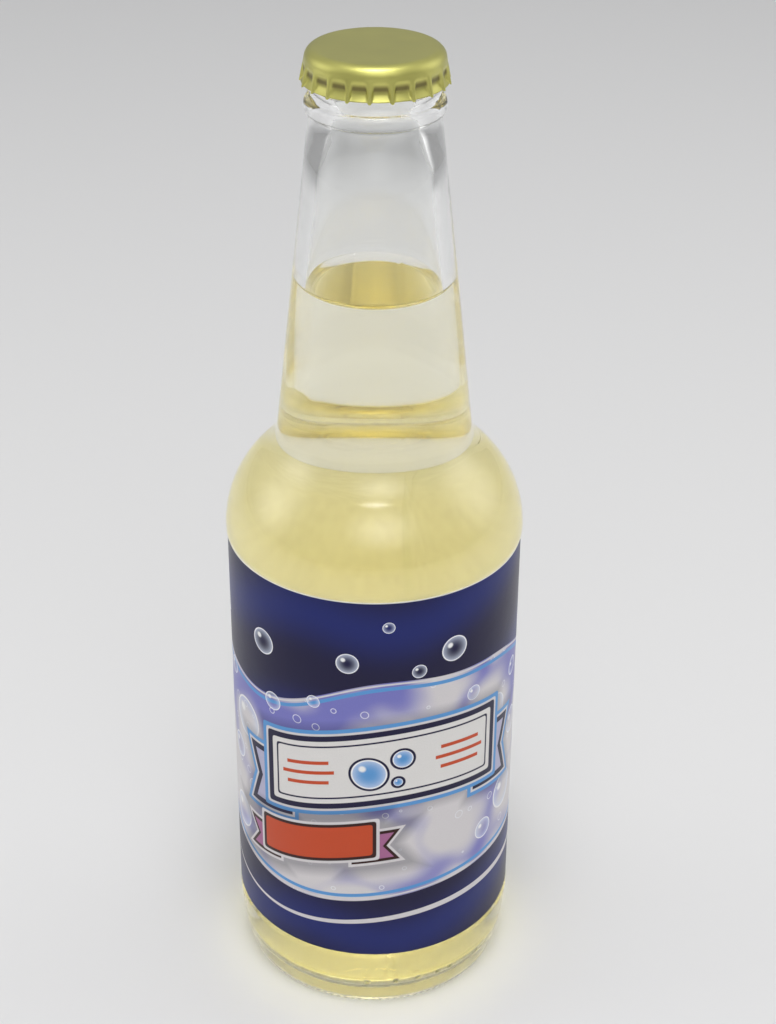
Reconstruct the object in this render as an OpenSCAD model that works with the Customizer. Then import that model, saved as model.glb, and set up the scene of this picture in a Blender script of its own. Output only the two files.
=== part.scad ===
// Glass soda bottle with a pry-off crown cap, a paper wrap label and its drink.
// +Z is up and the origin is the centre of the ring the bottle stands on. Millimetres.
// Every round piece is an outline of [radius, height] points turned about the Z axis.

/* [Body] */
// Diameter of the straight panel that the label is stuck on
body_d = 62.2; // [58:0.1:68]
// Height of that panel
panel_h = 94.1; // [80:0.1:100]
// Height of the slope from the panel out to the heel, and out to the shoulder
panel_step = 0.6; // [0.5:0.1:2]
// Thickness of the glass beside the label
wall_t = 2; // [1.8:0.1:3.2]

/* [Heel and base] */
// Distance by which the heel's widest point stands proud of the panel
heel_proud = 0.2; // [0.1:0.05:0.6]
// Height of the heel up to its widest point
heel_h = 16.4; // [10:0.1:18]
// Distance from the heel's widest point in to the flat ring that the bottle stands on
rest_in = 5; // [4.8:0.1:7]
// Width of that ring
rest_w = 1.2; // [0.8:0.1:2]
// Radius of the round between the ring and the heel
heel_round = 3.2; // [2.5:0.1:4.4]
// Rise of the hollow under the base
pushup_h = 3.2; // [1.5:0.1:4.5]
// Thickness of the glass floor
floor_t = 3.6; // [3:0.1:6]
// Radius of the round between the floor and the wall inside
floor_round = 7; // [4:0.5:10]

/* [Shoulder and neck] */
// Distance by which the shoulder's widest point stands proud of the panel
shoulder_proud = 0.5; // [0.2:0.05:1]
// Radius of the shoulder's round
shoulder_round = 23.4; // [22:0.1:26]
// Radius of the hollow curve from the shoulder into the neck
neck_round = 10.5; // [5:0.5:14]
// Slope of the neck's side away from the vertical, in degrees
neck_lean = 6.3; // [5:0.05:7]
// Diameter of the neck at its narrow top end
neck_d = 25.6; // [25.4:0.1:27]
// Thickness of the glass in the neck
neck_wall_t = 3.1; // [2.4:0.1:3.6]

/* [Finish] */
// Height of the glass from the ring it stands on to the lip
bottle_h = 214; // [205:0.5:224]
// Diameter of the hole through the mouth
bore_d = 16.4; // [15.6:0.1:17]
// Depth to which the mouth keeps that diameter
bore_l = 14; // [10:0.5:18]
// Height of the taper from the mouth's bore out to the neck's inside
throat_h = 9; // [6:0.5:14]
// Radius of the round at the lip's inner edge
lip_in_round = 0.8; // [0.4:0.1:1.2]
// Radius of the round at the lip's outer edge
lip_round = 2.6; // [2:0.1:3]
// Diameter of the locking ring that the crown grips
lock_d = 26.2; // [26:0.1:26.6]
// Depth of the locking ring's widest point under the lip
lock_drop = 3.7; // [3.4:0.1:4]
// Distance by which the locking ring stands proud of the lip above it
lock_proud = 0.2; // [0.1:0.05:0.4]
// Radius of the locking ring's round edge
lock_round = 1.3; // [1:0.1:1.6]
// Depth of the groove between the locking ring and the neck ring
groove_in = 0.5; // [0.3:0.05:0.8]
// Distance by which the neck ring stands proud of the neck under it
ring_proud = 0.9; // [0.4:0.05:1.2]
// Height of the neck ring
ring_h = 3.4; // [3:0.1:5]
// Depth of the neck ring's middle under the lip
ring_drop = 10.3; // [9.6:0.1:12]
// Radius of the neck ring's round edges
ring_round = 1.3; // [0.6:0.1:1.4]

/* [Label] */
// Height of bare panel left under the paper label, and over it
label_margin = 0.3; // [0.2:0.1:12]
// Thickness of the paper
label_t = 0.12; // [0.08:0.01:0.2]
// Length of paper that laps over the label's first end at the back
label_lap = 7; // [4:0.5:12]
// Thickness of the glue under the label
glue_t = 0.02; // [0.01:0.01:0.05]

/* [Soda] */
// Height of the soda's surface above the ring the bottle stands on
fill_h = 166.6; // [155:0.2:175]
// Height to which the soda climbs the glass at its rim
meniscus_h = 1.4; // [0.8:0.1:2]
// Width of that climb
meniscus_w = 2.2; // [1:0.1:3]
// Clearance between the soda and the glass
wetting_gap = 0.05; // [0.02:0.01:0.2]

/* [Crown cap] */
// Distance by which the cap's shoulder stands outside its valleys
shoulder_over = 0.08; // [0.05:0.01:0.3]
// Distance by which the ribs lean out from there to the lower edge
rib_lean = 0.95; // [0.7:0.05:1.2]
// Height of the cap
crown_h = 6.7; // [5.8:0.1:7]
// Number of flutes
flute_count = 21; // [21:1:24]
// Thickness of the tinplate
sheet_t = 0.24; // [0.2:0.01:0.28]
// Radius of the round between the cap's top and its skirt
crown_round = 2.2; // [1.6:0.1:2.6]
// Height of the lip along the lower edge that flares outwards
flare_h = 2.2; // [1:0.1:2.6]
// Distance by which the valleys flare out there
flare_w = 0.45; // [0.2:0.05:0.6]
// Clearance between the valleys and the locking ring
lock_gap = 0.08; // [0.05:0.01:0.15]

/* [Crown liner] */
// Thickness of the liner where it seals on the lip
liner_t = 0.55; // [0.45:0.05:0.7]
// Thickness of the liner's thin middle
liner_mid_t = 0.25; // [0.15:0.05:0.35]
// Width of the liner's thick sealing ring
seal_w = 4.4; // [3:0.1:5]
// Clearance over and under the liner
liner_gap = 0.04; // [0.03:0.01:0.08]

/* [Hidden] */
$fn = 180;

glass_colour = [0.86, 0.93, 0.90, 0.35];
soda_colour = [0.93, 0.88, 0.55, 0.60];
label_colour = [0.13, 0.15, 0.42];
crown_colour = [0.66, 0.63, 0.33];
liner_colour = [0.88, 0.88, 0.86];

// angles over which the locking ring's upper edge and the lip's round are joined by a slope
lock_turn = 20;
lip_turn = 5;

// steps along each round stretch of an outline
round_steps = 12;
// steps along the shoulder's long round
sweep_steps = 28;

body_r = body_d / 2;
heel_r = body_r + heel_proud;
rest_r = heel_r - rest_in;
shoulder_r = body_r + shoulder_proud;
bore_r = bore_d / 2;
lock_r = lock_d / 2;
groove_r = lock_r - groove_in;
ring_r = neck_d / 2 + ring_proud;

// the hollow under the base starts at the inner edge of the ring that the bottle stands on
pushup_r = rest_r - rest_w;
panel_z0 = heel_h + panel_step;
panel_z1 = panel_z0 + panel_h;
shoulder_z = panel_z1 + panel_step;
// radius of the lip's flat top: the locking ring stands a little proud of the lip's round
lip_flat_r = lock_r - lip_round - lock_proud;
ring_z = bottle_h - ring_drop;
neck_top_z = ring_z - ring_h / 2;

// points on a round from angle a0 to a1, in degrees from the outward radius
function arc(centre, r, a0, a1, steps) =
    [for (i = [0:steps]) let (a = a0 + (a1 - a0) * i / steps) centre + r * [cos(a), sin(a)]];

// radius of the neck's outside at a height, less a wall measured square to its side
function neck_r_at(z, wall) = neck_d / 2 + (neck_top_z - z) * tan(neck_lean) - wall / cos(neck_lean);

// The heel's side is one long round that leaves the small round at the base smoothly
// and stands upright at the widest point: its radius follows from those two conditions.
heel_centre = [rest_r, heel_round];
heel_reach = [heel_r, heel_h] - heel_centre;
heel_sweep = (heel_reach * heel_reach - pow(heel_round, 2)) / (2 * (heel_reach.x - heel_round));
heel_side_centre = [heel_r - heel_sweep, heel_h];
heel_turn = atan2(heel_centre.y - heel_side_centre.y, heel_centre.x - heel_side_centre.x);

// The shoulder's round has one centre for the outside and the inside of the glass.
shoulder_centre = [shoulder_r - shoulder_round, shoulder_z];

// Centre of the hollow round of radius r that touches the shoulder's round of radius
// s from outside and the neck's side, lying a wall's thickness inside the glass.
function neck_round_centre(r, s, wall) =
    let (
        along = [-sin(neck_lean), cos(neck_lean)],
        out = [cos(neck_lean), sin(neck_lean)],
        foot = [neck_r_at(shoulder_z, wall), shoulder_z] + r * out,
        q = foot - shoulder_centre,
        b = q * along
    )
    foot + (sqrt(b * b - q * q + pow(r + s, 2)) - b) * along;

// The shoulder and the hollow round above it, from the panel's radius up to the neck.
function shoulder_run(r, s, wall) =
    let (
        c = neck_round_centre(r, s, wall),
        turn = atan2(c.y - shoulder_centre.y, c.x - shoulder_centre.x)
    )
    concat(
        arc(shoulder_centre, s, 0, turn, sweep_steps),
        arc(c, r, 180 + turn, 180 + neck_lean, round_steps)
    );

// The outside of the glass, from the middle of the base up to the lip.
function glass_outside() = concat(
    dome(pushup_r, pushup_h, 0),
    arc(heel_centre, heel_round, -90, heel_turn, round_steps),
    arc(heel_side_centre, heel_sweep, heel_turn, 0, round_steps),
    [[body_r, panel_z0], [body_r, panel_z1]],
    shoulder_run(neck_round, shoulder_round, 0),
    [[neck_r_at(neck_top_z, 0), neck_top_z]],
    arc([ring_r - ring_round, ring_z - ring_h / 2 + ring_round], ring_round,
        -round_turn(ring_r, ring_round, neck_d / 2), 0, round_steps),
    arc([ring_r - ring_round, ring_z + ring_h / 2 - ring_round], ring_round,
        0, round_turn(ring_r, ring_round, groove_r), round_steps),
    arc([lock_r - lock_round, bottle_h - lock_drop], lock_round,
        -round_turn(lock_r, lock_round, groove_r), lock_turn, round_steps),
    arc([lip_flat_r, bottle_h - lip_round], lip_round, lip_turn, 90, round_steps)
);

// Angle at which a ring's round edge has come in to the radius of the groove beside it.
function round_turn(outer_r, round, in_r) = acos((in_r - outer_r + round) / round);

// A shallow dome from the axis out to radius r, rising h above height z.
function dome(r, h, z) =
    let (sphere_r = (r * r + h * h) / (2 * h))
    [for (i = [0:round_steps]) let (x = r * i / round_steps)
        [x, z + h - sphere_r + sqrt(sphere_r * sphere_r - x * x)]];

// The inside of the glass from the middle of the floor up to a height in the neck,
// drawn in by a gap all over.
function cavity_run(gap) =
    let (
        r = body_r - wall_t - gap,
        z = floor_t + gap,
        round = floor_round - gap,
        inner_sweep = shoulder_round - (shoulder_r - r)
    )
    concat(
        dome(r - round, pushup_h, z),
        arc([r - round, z + round], round, -90, 0, round_steps),
        shoulder_run(neck_round + neck_wall_t + gap, inner_sweep, neck_wall_t + gap)
    );

// The inside of the glass, from the middle of the floor up to the lip.
function glass_inside() =
    let (throat_z = bottle_h - bore_l - throat_h)
    concat(
        cavity_run(0),
        [[neck_r_at(throat_z, neck_wall_t), throat_z], [bore_r, bottle_h - bore_l]],
        arc([bore_r + lip_in_round, bottle_h - lip_in_round], lip_in_round, 180, 90, round_steps)
    );

// the same points from the last to the first
function reversed(points) = [for (i = [len(points) - 1:-1:0]) points[i]];

// Clear glass, blown in one piece with its finish.
module bottle() {
    color(glass_colour)
        rotate_extrude()
            polygon(concat(glass_outside(), reversed(glass_inside())));
}

// The drink, from the floor to its surface in the neck, with the rim where it climbs the glass.
module soda() {
    rim_z = fill_h + meniscus_h;
    rim_r = neck_r_at(rim_z, neck_wall_t + wetting_gap);
    color(soda_colour)
        rotate_extrude()
            polygon(concat(
                cavity_run(wetting_gap),
                [[rim_r, rim_z]],
                [for (i = [1:round_steps]) let (t = i / round_steps)
                    [rim_r - meniscus_w * t, fill_h + meniscus_h * pow(1 - t, 2)]],
                [[0, fill_h]]
            ));
}

// Paper wrapped once round the panel, with its last end lapped over the first at the back.
module label() {
    label_r = body_r + glue_t;
    half_lap = label_lap / 2 / (label_r + label_t) * 180 / PI;
    color(label_colour)
        translate([0, 0, panel_z0 + label_margin])
            linear_extrude(panel_h - 2 * label_margin)
                difference() {
                    union() {
                        circle(label_r + label_t);
                        intersection() {
                            circle(label_r + 2 * label_t);
                            // a kite from the axis, wide enough to cut out the lap
                            polygon(concat(
                                [[0, 0]],
                                arc([0, 0], 2 * label_r, 90 - half_lap, 90 + half_lap, 2)
                            ));
                        }
                    }
                    circle(label_r);
                }
}

// outer radius of the valleys where they pass the locking ring
valley_r = lock_r + lock_gap + sheet_t;
crown_top_r = valley_r + shoulder_over;
crown_r = crown_top_r + rib_lean;
crown_top_z = bottle_h + liner_t + sheet_t;
crown_edge_z = crown_top_z - crown_h;
skirt_h = crown_h - crown_round;
// the cap sits turned by half a flute, so that the first rib lies half a flute from +X
crown_turn = 180 / flute_count;

// steps round the cap's shoulder, and from there down its skirt
crown_steps = 6;
skirt_steps = 6;
// Places across one flute, from the middle of one rib to the next: close together on the ribs.
flute_places = [0, 0.07, 0.14, 0.24, 0.5, 0.76, 0.86, 0.93];
// half the width of a rib, as a share of one flute
rib_share = 0.24;

// 0 on a rib's crest and 1 in the valley, with a smooth side between
function valley_share(place) =
    let (t = min(min(place, 1 - place) / rib_share, 1))
    t * t * (3 - 2 * t);

// outer radius of the valleys at a share of the skirt's height: in past the ring, then flared
function valley_r_at(down) =
    let (flare = max(0, (down * skirt_h - skirt_h + flare_h) / flare_h))
    valley_r + (crown_top_r - valley_r) * pow(1 - down, 2) + flare_w * pow(flare, 1.5);

// outer radius of the skirt: straight sloping ribs, with valleys pressed in between them
function skirt_r(down, place) =
    let (rib = crown_top_r + (crown_r - crown_top_r) * down)
    rib + (valley_r_at(down) - rib) * valley_share(place);

// One ring of points round the cap for each row of its sheet: the top's round, then the skirt.
function crown_row(row, inset) =
    let (
        turn = 90 - 90 * row / crown_steps,
        down = (row - crown_steps) / skirt_steps,
        corner = crown_round - inset
    )
    [for (f = [0:flute_count - 1], p = flute_places)
        let (
            a = crown_turn + 360 * (f + p) / flute_count,
            r = row <= crown_steps
                ? crown_top_r - crown_round + corner * cos(turn)
                : skirt_r(down, p) - inset,
            z = row <= crown_steps
                ? crown_top_z - crown_round + corner * sin(turn)
                : crown_top_z - crown_round - skirt_h * down
        )
        [r * cos(a), r * sin(a), z]];

// Tinplate shell, stamped with its flutes: one closed skin of an outer and an inner sheet.
module crown_shell() {
    around = flute_count * len(flute_places);
    rows = crown_steps + skirt_steps;
    outer = [for (row = [0:rows]) each crown_row(row, 0)];
    inner = [for (row = [rows:-1:0]) each crown_row(row, sheet_t)];
    points = concat(
        outer, inner,
        [[0, 0, crown_top_z], [0, 0, crown_top_z - sheet_t]]
    );
    rings = 2 * (rows + 1);
    top = rings * around;
    sides = [for (ring = [0:rings - 2], i = [0:around - 1])
        let (a = ring * around + i, b = ring * around + (i + 1) % around)
        each [[a, b, b + around], [a, b + around, a + around]]];
    caps = [for (i = [0:around - 1])
        let (j = (i + 1) % around, last = (rings - 1) * around)
        each [[top, j, i], [top + 1, last + i, last + j]]];
    color(crown_colour)
        polyhedron(points, concat(sides, caps), convexity = 6);
}

// Sealing disc moulded into the cap: a thin middle, and a thick ring that presses on the lip
// and fills the cap's round.
module crown_liner() {
    round = crown_round - sheet_t - liner_gap;
    centre = [crown_top_r - crown_round, crown_top_z - crown_round];
    top_z = centre.y + round;
    low_z = bottle_h + liner_gap;
    mid_z = top_z - liner_mid_t;
    seal_turn = asin((low_z - centre.y) / round);
    seal_r = centre.x + round * cos(seal_turn) - seal_w;
    color(liner_colour)
        rotate_extrude()
            polygon(concat(
                [[0, mid_z], [seal_r - (mid_z - low_z), mid_z], [seal_r, low_z]],
                arc(centre, round, seal_turn, 90, round_steps),
                [[0, top_z]]
            ));
}

bottle();
soda();
label();
crown_shell();
crown_liner();
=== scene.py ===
import bpy
import numpy as np
from mathutils import Matrix, Vector


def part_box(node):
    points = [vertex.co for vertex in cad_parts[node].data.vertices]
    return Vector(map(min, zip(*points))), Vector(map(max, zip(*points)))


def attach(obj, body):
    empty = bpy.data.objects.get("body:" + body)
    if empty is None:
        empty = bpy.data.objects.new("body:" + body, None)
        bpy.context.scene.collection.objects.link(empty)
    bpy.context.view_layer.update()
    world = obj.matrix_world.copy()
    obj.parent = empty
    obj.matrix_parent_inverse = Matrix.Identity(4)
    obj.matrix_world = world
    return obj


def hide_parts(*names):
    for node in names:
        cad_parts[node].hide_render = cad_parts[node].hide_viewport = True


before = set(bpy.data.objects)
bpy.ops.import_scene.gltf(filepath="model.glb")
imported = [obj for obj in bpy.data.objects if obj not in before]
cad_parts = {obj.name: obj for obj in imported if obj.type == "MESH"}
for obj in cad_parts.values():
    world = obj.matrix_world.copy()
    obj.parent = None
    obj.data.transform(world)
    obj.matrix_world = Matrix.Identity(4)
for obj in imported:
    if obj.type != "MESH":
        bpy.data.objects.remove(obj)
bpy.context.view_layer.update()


# ---------------------------------------------------------------------------------------
# Glass bottle. Clear flint glass, blown in a two-part mould: a mouth for a crown cap, a conical
# neck, a round shoulder, a panel for the label and a thick heel on a knurled standing ring.
# Its inside was free while it was blown, so that wall is a little uneven.
# ---------------------------------------------------------------------------------------

MM = 0.001
glass_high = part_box("bottle")[1]
glass_h = glass_high.z / MM
shoulder_r = glass_high.x / MM

rest_r, rest_w, heel_round, heel_h, heel_r = 26.3, 1.2, 3.2, 16.4, 31.3
pushup_h, floor_t, floor_round = 3.2, 3.6, 7.0
body_r, panel_h, panel_step, wall_t = 31.1, 94.1, 0.6, 2.0
shoulder_round, neck_round, neck_lean, neck_r, neck_wall_t = 23.4, 10.5, np.radians(6.3), 12.8, 3.1
bore_r, bore_l, throat_h, lip_in_round, lip_round = 8.2, 14.0, 9.0, 0.8, 2.6
lock_r, lock_proud, lock_drop, lock_round, groove_r = 13.1, 0.2, 3.7, 1.3, 12.6
ring_r, ring_h, ring_drop, ring_round = 13.7, 3.4, 10.3, 1.3
corner_rows = (0.3, 0.5, 2.0)

panel_z0 = heel_h + panel_step
panel_z1 = panel_z0 + panel_h
shoulder_z = panel_z1 + panel_step
ring_z = glass_h - ring_drop
neck_top_z = ring_z - ring_h / 2
lip_flat_r = lock_r - lip_round - lock_proud
shoulder_centre = np.array([shoulder_r - shoulder_round, shoulder_z])


def arc(centre, radius, start, end, steps):
    """Points on a round: centre plus radius times the cosine and sine of evenly spaced angles, in degrees."""
    angle = np.radians(np.linspace(start, end, steps + 1))
    return np.asarray(centre) + radius * np.column_stack([np.cos(angle), np.sin(angle)])


def line(start, end, steps):
    """Evenly spaced points on the straight line from start to end."""
    return np.linspace(start, end, steps + 1)


def dome(radius, rise, base, steps):
    """A shallow spherical cap: height is base plus rise, less the sphere's fall from its top."""
    ball = (radius ** 2 + rise ** 2) / (2 * rise)
    r = np.linspace(0, radius, steps + 1)
    return np.column_stack([r, base + rise - ball + np.sqrt(ball ** 2 - r ** 2)])


def neck_r_at(height, wall):
    """Radius of the neck's cone at a height, less a wall measured square to its side."""
    return neck_r + (neck_top_z - height) * np.tan(neck_lean) - wall / np.cos(neck_lean)


def shoulder_run(hollow, sweep, wall, steps):
    """The shoulder's round of radius sweep, then the hollow round that touches it and the neck's side."""
    along = np.array([-np.sin(neck_lean), np.cos(neck_lean)])
    out = np.array([np.cos(neck_lean), np.sin(neck_lean)])
    foot = np.array([neck_r_at(shoulder_z, wall), shoulder_z]) + hollow * out
    gap = foot - shoulder_centre
    reach = gap @ along
    centre = foot + (np.sqrt(reach ** 2 - gap @ gap + (hollow + sweep) ** 2) - reach) * along
    turn = np.degrees(np.arctan2(*(centre - shoulder_centre)[::-1]))
    return np.vstack([
        arc(shoulder_centre, sweep, 0, turn, 2 * steps),
        arc(centre, hollow, 180 + turn, 180 + np.degrees(neck_lean), steps)[1:]])


def round_turn(outer, radius, inner):
    """Angle, in degrees, at which a ring's round edge has come in to the radius of the groove beside it."""
    return np.degrees(np.arccos((inner - outer + radius) / radius))


def glass_outside():
    """The outside of the glass from the middle of the base up to the lip, as radius and height."""
    heel_centre = np.array([rest_r, heel_round])
    reach = np.array([heel_r, heel_h]) - heel_centre
    sweep = (reach @ reach - heel_round ** 2) / (2 * (reach[0] - heel_round))
    side_centre = np.array([heel_r - sweep, heel_h])
    turn = np.degrees(np.arctan2(*(heel_centre - side_centre)[::-1]))
    ring_low = [ring_r - ring_round, ring_z - ring_h / 2 + ring_round]
    ring_high = [ring_r - ring_round, ring_z + ring_h / 2 - ring_round]
    run = shoulder_run(neck_round, shoulder_round, 0, 10)
    neck_end_z = neck_top_z - corner_rows[0]
    # rows close beside each corner keep the long faces between them flat in their shading
    return np.vstack([
        dome(rest_r - rest_w, pushup_h, 0, 10),
        arc(heel_centre, heel_round, -90, turn, 12),
        arc(side_centre, sweep, turn, 0, 16)[1:],
        line([body_r, panel_z0], [body_r, panel_z0 + corner_rows[1]], 1),
        line([body_r, panel_z0 + corner_rows[2]], [body_r, panel_z1 - corner_rows[2]], 3),
        line([body_r, panel_z1 - corner_rows[1]], [body_r, panel_z1], 1),
        run,
        line(run[-1], [neck_r_at(neck_end_z, 0), neck_end_z], 8)[1:],
        arc(ring_low, ring_round, -round_turn(ring_r, ring_round, neck_r), 0, 6),
        arc(ring_high, ring_round, 0, round_turn(ring_r, ring_round, groove_r), 6),
        arc([lock_r - lock_round, glass_h - lock_drop], lock_round,
            -round_turn(lock_r, lock_round, groove_r), 20, 6),
        arc([lip_flat_r, glass_h - lip_round], lip_round, 5, 90, 8)])


def cavity_run(gap):
    """The inside of the glass from the floor's middle to the foot of the neck, drawn in by a gap."""
    inner = body_r - wall_t - gap
    corner = floor_round - gap
    sweep = shoulder_round - (shoulder_r - inner)
    floor = floor_t + gap
    side = arc([inner - corner, floor + corner], corner, -90, 0, 10)
    run = shoulder_run(neck_round + neck_wall_t + gap, sweep, neck_wall_t + gap, 8)
    return np.vstack([
        dome(inner - corner, pushup_h, floor, 8), side[1:], line(side[-1], run[0], 8)[1:-1], run])


def glass_inside():
    """The inside of the glass from the middle of the floor up to the lip, as radius and height."""
    run = cavity_run(0)
    throat_z = glass_h - bore_l - throat_h
    throat = [neck_r_at(throat_z, neck_wall_t), throat_z]
    return np.vstack([
        run, line(run[-1], throat, 12)[1:],
        line(throat, [bore_r, glass_h - bore_l], 5)[1:],
        line([bore_r, glass_h - bore_l + 1], [bore_r, glass_h - 2 * lip_in_round], 3),
        arc([bore_r + lip_in_round, glass_h - lip_in_round], lip_in_round, 180, 90, 5)])


def unevenness(angle, height, size, seed):
    """Slow waves of thickness: a sum of cosines of whole turns round, which drift as they rise."""
    draw = np.random.default_rng(seed)
    total = np.zeros(np.broadcast(angle, height).shape)
    steepest = 0.16
    for turns in (1, 2, 3, 4, 5, 7):
        rise, phase = draw.uniform(-steepest, steepest), draw.uniform(0, 2 * np.pi)
        total = total + np.cos(turns * angle + rise * height + phase) / (turns + 1)
    return size * total


def skin(name, points, pole_start=True, pole_end=True):
    """A closed mesh from a grid of points, rows along the outline and columns round it.

    Neighbouring rows are joined by quads, and each pole is closed by a fan of triangles.
    """
    rows, cols = points.shape[:2]
    body = points[1:] if pole_start else points
    body = body[:-1] if pole_end else body
    n = len(body)
    verts = [body.reshape(-1, 3)]
    i, j = np.meshgrid(np.arange(n - 1), np.arange(cols), indexing="ij")
    k = (j + 1) % cols
    quads = np.stack([i * cols + j, i * cols + k, (i + 1) * cols + k, (i + 1) * cols + j], axis=-1)
    loops, starts = [quads.reshape(-1)], [np.arange(quads.size // 4) * 4]
    count, used = n * cols, quads.size
    ring = np.arange(cols)
    after = (ring + 1) % cols
    for wanted, row, tip, flip in (
            (pole_start, 0, points[0, 0], False), (pole_end, (n - 1) * cols, points[-1, 0], True)):
        if not wanted:
            continue
        verts.append(tip[None])
        a, b = (ring, after) if flip else (after, ring)
        fan = np.stack([row + a, row + b, np.full(cols, count)], axis=-1)
        loops.append(fan.reshape(-1))
        starts.append(used + np.arange(cols) * 3)
        count, used = count + 1, used + fan.size
    verts, loops, starts = np.vstack(verts), np.concatenate(loops), np.concatenate(starts)
    mesh = bpy.data.meshes.new(name)
    mesh.vertices.add(len(verts))
    mesh.vertices.foreach_set("co", (verts * MM).astype(np.float32).ravel())
    mesh.loops.add(len(loops))
    mesh.loops.foreach_set("vertex_index", loops.astype(np.int32))
    mesh.polygons.add(len(starts))
    mesh.polygons.foreach_set("loop_start", starts.astype(np.int32))
    mesh.polygons.foreach_set("use_smooth", np.ones(len(starts), dtype=bool))
    mesh.update(calc_edges=True)
    mesh.validate()
    piece = bpy.data.objects.new(name, mesh)
    bpy.context.collection.objects.link(piece)
    return piece


def turned(outline, angle, swell=0.0):
    """An outline turned about Z: x and y are radius plus swell times the cosine and sine of the angle."""
    radius = outline[:, :1] + np.where(outline[:, :1] > 0, swell, 0)
    return np.stack([
        radius * np.cos(angle), radius * np.sin(angle), outline[:, 1:] + 0 * angle], axis=-1)


knurl_count, knurl_depth, knurl_top = 112, 0.3, 2.2
outer_wave, outer_seed = 0.015, 3
inner_wave, inner_seed = 0.10, 8
glass_angle = np.linspace(0, 2 * np.pi, 4 * knurl_count, endpoint=False)[None, :]
outside, inside = glass_outside(), glass_inside()[::-1]
out_z, in_z = outside[:, 1:], inside[:, 1:]

# the mould's two halves meet in a fine ridge up each side
seam_angle, seam_rise, seam_width = np.radians(-72), 0.04, 0.5
seam_turn = (glass_angle - seam_angle + np.pi / 2) % np.pi - np.pi / 2
seam = seam_rise * np.exp(-(seam_turn * outside[:, :1] / seam_width) ** 2) * (out_z > heel_round)

outer_swell = unevenness(glass_angle, out_z, outer_wave, outer_seed) + seam
outer_swell *= out_z > corner_rows[1]
outer_swell = np.minimum(outer_swell, glass_high.y / MM - outside[:, :1])
inner_swell = unevenness(glass_angle, in_z, inner_wave, inner_seed)
inner_swell *= (in_z < glass_h - bore_l) & (in_z > floor_t)
knurl = 0.5 - 0.5 * np.cos(knurl_count * glass_angle)
on_ring = (outside[:, :1] > rest_r - 0.4 * rest_w) * np.clip(1 - out_z / knurl_top, 0, 1)
outer_skin = turned(outside, glass_angle, outer_swell - knurl_depth * knurl * on_ring)
outer_skin[..., 2] += knurl_depth * knurl * on_ring
bottle_glass = skin("bottle_glass", np.concatenate([outer_skin, turned(inside, glass_angle, inner_swell)]))


def new_material(name):
    """A material with only its Principled shader, and that shader."""
    material = bpy.data.materials.new(name)
    material.use_nodes = True
    return material, material.node_tree.nodes["Principled BSDF"]


def add(tree, kind, **settings):
    """A new node in a tree, with its settings."""
    node = tree.nodes.new(kind)
    for key, value in settings.items():
        setattr(node, key, value)
    return node


def feed(tree, socket, value):
    """Sets a socket to a number, a colour or a point, or links another node's output to it."""
    if isinstance(value, bpy.types.NodeSocket):
        tree.links.new(value, socket)
    elif hasattr(value, "__len__") and len(value) == 3 and socket.type == "RGBA":
        socket.default_value = (*value, 1)
    else:
        socket.default_value = value


def calc(tree, kind, *values):
    """One arithmetic step of a pattern, such as an addition or a sine."""
    node = add(tree, "ShaderNodeMath", operation=kind)
    for socket, value in zip(node.inputs, values):
        feed(tree, socket, value)
    return node.outputs["Value"]


def shift(tree, kind, *values):
    """One step with points instead of numbers."""
    node = add(tree, "ShaderNodeVectorMath", operation=kind)
    for socket, value in zip(node.inputs, values):
        feed(tree, socket, value)
    return node.outputs["Value" if kind in ("LENGTH", "DISTANCE") else "Vector"]


def ink(tree, under, over, amount):
    """One colour laid over another, by an amount from 0 to 1."""
    node = add(tree, "ShaderNodeMix", data_type="RGBA")
    feed(tree, node.inputs["Factor"], amount)
    feed(tree, node.inputs[6], under)
    feed(tree, node.inputs[7], over)
    return node.outputs[2]


def new_group(name, inputs, outputs):
    """An empty node group with named sockets, and its two end nodes."""
    group = bpy.data.node_groups.new(name, "ShaderNodeTree")
    for socket, kind in inputs.items():
        group.interface.new_socket(socket, in_out="INPUT", socket_type="NodeSocket" + kind)
    for socket, kind in outputs.items():
        group.interface.new_socket(socket, in_out="OUTPUT", socket_type="NodeSocket" + kind)
    return group, add(group, "NodeGroupInput"), add(group, "NodeGroupOutput")


def place_group(tree, group, **values):
    """A group placed in a tree, with values or links on its inputs; underscores stand for spaces."""
    node = add(tree, "ShaderNodeGroup", node_tree=group)
    for key, value in values.items():
        feed(tree, node.inputs[key.replace("_", " ")], value)
    return node


def let_light_through(tree, shader, tint):
    """Shadow rays pass straight through a clear material and only take on its tint."""
    ray = add(tree, "ShaderNodeLightPath")
    clear = add(tree, "ShaderNodeBsdfTransparent")
    clear.inputs["Color"].default_value = (*tint, 1)
    either = add(tree, "ShaderNodeMixShader")
    tree.links.new(ray.outputs["Is Shadow Ray"], either.inputs[0])
    tree.links.new(shader.outputs["BSDF"], either.inputs[1])
    tree.links.new(clear.outputs["BSDF"], either.inputs[2])
    tree.links.new(either.outputs["Shader"], tree.nodes["Material Output"].inputs["Surface"])


# mottling for any surface: fine noise at a scale, and the same noise spread between two values
mottle, g_in, g_out = new_group(
    "mottle",
    {"Place": "Vector", "Scale": "Float", "Detail": "Float", "Least": "Float", "Most": "Float"},
    {"Amount": "Float", "Value": "Float"})
noise = add(mottle, "ShaderNodeTexNoise")
feed(mottle, noise.inputs["Vector"], g_in.outputs["Place"])
feed(mottle, noise.inputs["Scale"], g_in.outputs["Scale"])
feed(mottle, noise.inputs["Detail"], g_in.outputs["Detail"])
feed(mottle, g_out.inputs["Amount"], noise.outputs["Fac"])
feed(mottle, g_out.inputs["Value"], calc(
    mottle, "MULTIPLY_ADD", noise.outputs["Fac"],
    calc(mottle, "SUBTRACT", g_in.outputs["Most"], g_in.outputs["Least"]), g_in.outputs["Least"]))

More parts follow.
